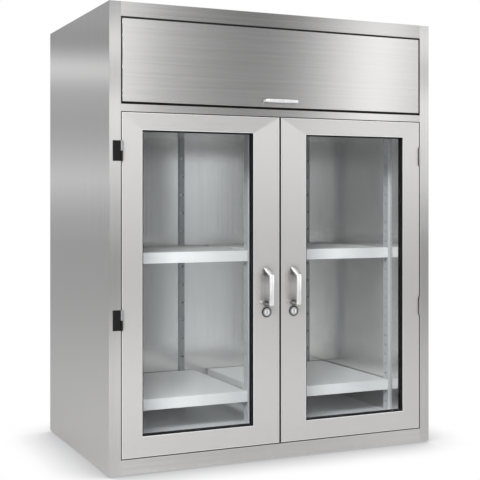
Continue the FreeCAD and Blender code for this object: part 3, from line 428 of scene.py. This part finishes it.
FINISHES = (
    (STEEL["X"], ["top_panel", "ceiling_panel", "middle_rail", "bottom_rail", "flap_pan", "flap_liner"]),
    (STEEL["Z"], [*both("side_skin", "door_liner"), "back_panel", "door_stops", "hinge_leaves_right",
                  "door_hinge_leaves_right"]),
    (SHADED_RAIL_STEEL, ["top_rail"]),
    (LIT_INNER_STEEL["X"], ["deck_pan"]),
    (LIT_INNER_STEEL["Z"], ["side_liners", "back_liner"]),
    (LIT_SHELF_STEEL, both("low_shelf", "mid_shelf")),
    (LIT_FLOOR_STEEL, ["floor_pan"]),
    (STANDARD_STEEL, ["centre_post", "wall_standards", "post_standards"]),
    (SHADED_REAR_STANDARD_STEEL, ["rear_standards"]),
    (DOOR_STEEL, both("door_frame")),
    (LOCK_FACE, both("lock_body", "lock_plug")),
    (POLISHED, ["flap_handle", *both("door_handle")]),
    (ZINC, ["base_channels", "shelf_clips", "hinge_pins", "flap_hinge_pin", "door_hinge_leaves_left",
            *both("upper_latch_rod", "lower_latch_rod")]),
    (BLACK_COAT, ["hinge_plates_left", "flap_hinge_frame_leaf", "flap_hinge_leaf"]),
    (RUBBER, ["flap_seal", *both("glazing_gasket", "door_seal")]),
    (NYLON, ["floor_glides"]),
    (GLASS, both("window_glass")),
)
for finish, names in FINISHES:
    for name in names:
        NODES[name].data.materials.clear()
        NODES[name].data.materials.append(finish)


# Pulls: flat bar bent back to the sheet at both ends, with its long edges rounded
TOUCH = 0.1 * MM
PULL_ROUNDING = 4 * MM
CORNER_ANGLE = math.radians(12)
SMOOTH_ANGLE = math.radians(40)
FLAP_PULL_HALF, FLAP_PULL_REACH, FLAP_PULL_GRIP, FLAP_PULL_HEIGHT = 60 * MM, 24 * MM, 10 * MM, 13 * MM
DOOR_PULL_WIDTH, DOOR_PULL_GRIP, DOOR_PULL_SLOPE = 19 * MM, 11 * MM, 24 * MM


def begin_bar(name, low, high):
    """A block between two corners, selected alone, as the start of a bar."""
    bpy.ops.object.select_all(action="DESELECT")
    bpy.ops.mesh.primitive_cube_add(size=1, location=[(a + b) / 2 for a, b in zip(low, high)],
                                    scale=[b - a for a, b in zip(low, high)])
    bpy.ops.object.transform_apply(location=True, rotation=True, scale=True)
    piece = bpy.context.object
    piece.name = name
    return piece


def pick(piece, kind, wanted):
    """Leaves edit mode open with only the wanted points, edges or faces selected."""
    bpy.ops.object.mode_set(mode="EDIT")
    bpy.ops.mesh.select_mode(type=kind)
    bpy.ops.mesh.select_all(action="DESELECT")
    bpy.ops.object.mode_set(mode="OBJECT")
    parts = {"VERT": piece.data.vertices, "EDGE": piece.data.edges, "FACE": piece.data.polygons}[kind]
    for part in parts:
        part.select = wanted(part)
    bpy.ops.object.mode_set(mode="EDIT")


def cut_bar(point, normal):
    """Cuts the bar in hand with a plane, and keeps both sides."""
    bpy.ops.object.mode_set(mode="EDIT")
    bpy.ops.mesh.select_all(action="SELECT")
    bpy.ops.mesh.bisect(plane_co=point, plane_no=normal)


def finish_pull(piece, sheet, body, node):
    """Rounds every edge but those of the feet on the sheet, and puts the pull in place of its solid."""
    bpy.ops.object.mode_set(mode="OBJECT")
    points = [point.co.copy() for point in piece.data.vertices]
    normals_at = {}
    for face in piece.data.polygons:
        for key in face.edge_keys:
            normals_at.setdefault(key, []).append(face.normal.copy())
    pick(piece, "EDGE", lambda edge: min(points[i].y for i in edge.vertices) < sheet - TOUCH
         and normals_at[edge.key][0].angle(normals_at[edge.key][-1]) > CORNER_ANGLE)
    bpy.ops.mesh.bevel(offset=PULL_ROUNDING, segments=4, affect="EDGES", clamp_overlap=True)
    bpy.ops.mesh.select_all(action="SELECT")
    bpy.ops.mesh.normals_make_consistent(inside=False)
    bpy.ops.object.mode_set(mode="OBJECT")
    bpy.ops.object.shade_smooth_by_angle(angle=SMOOTH_ANGLE)
    piece.data.materials.append(POLISHED)
    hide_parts(node)
    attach(piece, body)


def add_flap_pull():
    """The flap's pull stands out less and is a little shorter than the solid that it replaces."""
    low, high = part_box("flap_handle")
    middle, sheet = (low[2] + high[2]) / 2, high[1]
    front = sheet - FLAP_PULL_REACH
    foot_start = FLAP_PULL_HALF - FLAP_PULL_GRIP
    piece = begin_bar("flap_pull_bar", (-FLAP_PULL_HALF, front, middle - FLAP_PULL_HEIGHT / 2),
                      (FLAP_PULL_HALF, front + FLAP_PULL_GRIP, middle + FLAP_PULL_HEIGHT / 2))
    for end in (-1, 1):
        cut_bar((end * foot_start, 0, 0), (1, 0, 0))
    pick(piece, "FACE", lambda face: face.normal.y > 0.9 and abs(face.center.x) > foot_start)
    bpy.ops.mesh.extrude_region_move(
        TRANSFORM_OT_translate={"value": (0, FLAP_PULL_REACH - FLAP_PULL_GRIP, 0)})
    finish_pull(piece, sheet, "flap", "flap_handle")


def add_door_pull(side):
    """A door's pull is square to the sheet at its foot, and slopes back to it at its head."""
    low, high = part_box(f"door_handle_{side}")
    centre, sheet = (low[0] + high[0]) / 2, high[1]
    front, back, top = low[1], low[1] + DOOR_PULL_GRIP, high[2] - DOOR_PULL_SLOPE
    foot_top = low[2] + DOOR_PULL_GRIP
    piece = begin_bar(f"door_pull_bar_{side}", (centre - DOOR_PULL_WIDTH / 2, front, low[2]),
                      (centre + DOOR_PULL_WIDTH / 2, back, top))
    cut_bar((0, 0, foot_top), (0, 0, 1))
    pick(piece, "FACE", lambda face: face.normal.y > 0.9 and face.center.z < foot_top)
    bpy.ops.mesh.extrude_region_move(TRANSFORM_OT_translate={"value": (0, sheet - back, 0)})
    # Tilts the bar's end face, and draws it back to the sheet as the sloped head
    pick(piece, "VERT", lambda point: abs(point.co.y - back) < TOUCH and abs(point.co.z - top) < TOUCH)
    bpy.ops.transform.translate(value=(0, 0, -DOOR_PULL_GRIP / 2))
    pick(piece, "FACE", lambda face: face.normal.z > 0.5 and face.center.z > top - DOOR_PULL_GRIP)
    bpy.ops.mesh.extrude_region_move(
        TRANSFORM_OT_translate={"value": (0, sheet - back, DOOR_PULL_SLOPE - DOOR_PULL_GRIP)})
    pick(piece, "VERT", lambda point: point.co.y < sheet - TOUCH and point.co.z > top + TOUCH)
    bpy.ops.transform.translate(value=(0, DOOR_PULL_GRIP, DOOR_PULL_GRIP))
    finish_pull(piece, sheet, f"door_{side}", f"door_handle_{side}")


add_flap_pull()
for side in SIDES:
    add_door_pull(side)


# Floor
FLOOR_SIZE = 40
PAINTED_SHADOW_REACH = 0.24


def add_floor():
    """White paper with a painted soft shadow where the cabinet stands. The steel mirrors it as a lit pale
    grey.
    """
    bpy.ops.mesh.primitive_plane_add(size=FLOOR_SIZE)
    floor = bpy.context.object
    floor.name = "studio_floor"
    material, tree = empty_material("white_studio_paper")
    paper = add_node(tree, "ShaderNodeBsdfDiffuse", inputs={"Color": linear("#CECECE")})
    # Painted shadow: occlusion darkens the paper's glow near the cabinet
    painted_shadow_occlusion = add_node(tree, "ShaderNodeAmbientOcclusion", inputs={"Distance": PAINTED_SHADOW_REACH})
    shadow = add_node(tree, "ShaderNodeValToRGB", links={"Fac": painted_shadow_occlusion.outputs["AO"]},
                      stops=((0.4, "#B4B4B6"), (0.92, WHITE)))
    glow = add_node(tree, "ShaderNodeEmission", links={"Color": shadow.outputs["Color"]})
    path = add_node(tree, "ShaderNodeLightPath")
    seen = add_node(tree, "ShaderNodeMixShader", links={
        0: path.outputs["Is Camera Ray"], 1: paper.outputs["BSDF"], 2: glow.outputs["Emission"]})
    add_node(tree, "ShaderNodeOutputMaterial", links={"Surface": seen.outputs["Shader"]})
    floor.data.materials.append(material)


# Studio that the steel mirrors, as pairs of a direction's coordinate and the brightness there. Level grain
# mirrors it by the direction's x, and upright grain by its z
LEVEL_BANDS = (
    (-1.0, 0.30), (-0.40, 0.30), (0.0, 0.45), (0.25, 0.70), (0.305, 1.20), (0.322, 0.80), (0.345, 0.38),
    (0.376, 0.18), (0.402, 0.02), (0.415, 0.0), (0.435, 0.0), (0.454, 0.10), (0.468, 0.26), (0.491, 0.75),
    (0.515, 1.30), (0.530, 1.50), (0.542, 1.15), (0.558, 0.70), (0.60, 0.50), (1.0, 0.40))
FRONT_BANDS = (
    (-1.0, 0.55), (-0.225, 0.58), (-0.186, 0.52), (-0.132, 0.32), (-0.077, 0.28), (-0.038, 0.13), (0.0, 0.15),
    (0.006, 0.46), (0.03, 0.46), (0.05, 0.58), (0.064, 0.56), (0.094, 0.92), (0.102, 0.45), (0.113, 0.12),
    (0.122, 0.14), (0.131, 0.42), (0.150, 1.05), (0.158, 0.75), (0.168, 0.30), (0.177, 0.05), (0.24, 0.10),
    (0.55, 0.40), (1.0, 0.55))
SIDE_BANDS = (
    (-1.0, 0.50), (-0.203, 0.50), (-0.186, 0.66), (-0.168, 0.46), (-0.13, 0.42), (-0.058, 0.50),
    (-0.02, 0.56), (0.0, 0.70), (0.019, 0.88), (0.037, 0.74), (0.056, 0.60), (0.075, 0.54), (0.103, 0.62),
    (0.111, 0.78), (0.122, 1.15), (0.131, 0.85), (0.139, 0.50), (0.15, 0.40), (0.167, 0.52), (0.3, 0.50),
    (0.55, 0.75), (1.0, 0.90))
BRIGHTEST_BAND = 1.6
PASSAGE = 0.15  # how gradually the panels in front give way to those beside and behind


def set_world():
    """White where the camera looks, and elsewhere the pale panels and dark gaps that the steel mirrors."""
    world = bpy.data.worlds.new("studio")
    bpy.context.scene.world = world
    world.use_nodes = True
    tree = world.node_tree
    tree.nodes.clear()
    direction = add_node(tree, "ShaderNodeTexCoord")
    parts = add_node(tree, "ShaderNodeSeparateXYZ", links={"Vector": direction.outputs["Generated"]})
    bands = []
    for axis, profile in (("X", LEVEL_BANDS), ("Z", FRONT_BANDS), ("Z", SIDE_BANDS)):
        place = add_node(tree, "ShaderNodeMapRange", inputs={"From Min": -1, "From Max": 1},
                         links={"Value": parts.outputs[axis]})
        bands.append(add_node(tree, "ShaderNodeValToRGB", links={"Fac": place.outputs["Result"]},
                              stops=[((1 + at) / 2, level / BRIGHTEST_BAND) for at, level in profile]))
    in_front = add_node(tree, "ShaderNodeMath", {"operation": "ADD"},
                        links={0: bands[0].outputs["Color"], 1: bands[1].outputs["Color"]})
    behind = add_node(tree, "ShaderNodeMapRange", inputs={"From Min": -PASSAGE, "From Max": PASSAGE},
                      links={"Value": parts.outputs["Y"]})
    around = add_node(tree, "ShaderNodeMix", {"data_type": "FLOAT"}, links={
        "Factor": behind.outputs["Result"], "A": in_front.outputs["Value"], "B": bands[2].outputs["Color"]})
    strength = add_node(tree, "ShaderNodeMath", {"operation": "MULTIPLY"}, {1: BRIGHTEST_BAND},
                        {0: around.outputs["Result"]})
    room = add_node(tree, "ShaderNodeBackground", inputs={"Color": linear("#FDFDFF")},
                    links={"Strength": strength.outputs["Value"]})
    white = add_node(tree, "ShaderNodeBackground", inputs={"Color": linear(WHITE), "Strength": 1.0})
    path = add_node(tree, "ShaderNodeLightPath")
    seen = add_node(tree, "ShaderNodeMixShader", links={
        0: path.outputs["Is Camera Ray"], 1: room.outputs["Background"], 2: white.outputs["Background"]})
    add_node(tree, "ShaderNodeOutputWorld", links={"Surface": seen.outputs["Shader"]})


def add_softbox(name, location, target, size, watts):
    """A white rectangular lamp aimed at a point."""
    data = bpy.data.lights.new(name, "AREA")
    data.shape = "RECTANGLE"
    data.size, data.size_y = size
    data.energy = watts
    light = bpy.data.objects.new(name, data)
    light.location = location
    light.rotation_euler = (Vector(target) - Vector(location)).to_track_quat("-Z", "Y").to_euler()
    bpy.context.collection.objects.link(light)


add_floor()
set_world()
add_softbox("top_softbox", location=(0, -0.6, 4.2), target=(0, 0, 0), size=(3.0, 2.0), watts=16)
add_softbox("high_softbox", location=(-2.2, -3.2, 3.1), target=(0, 0, 0.7), size=(1.4, 1.0), watts=150)

bpy.context.scene.view_settings.view_transform = "Standard"
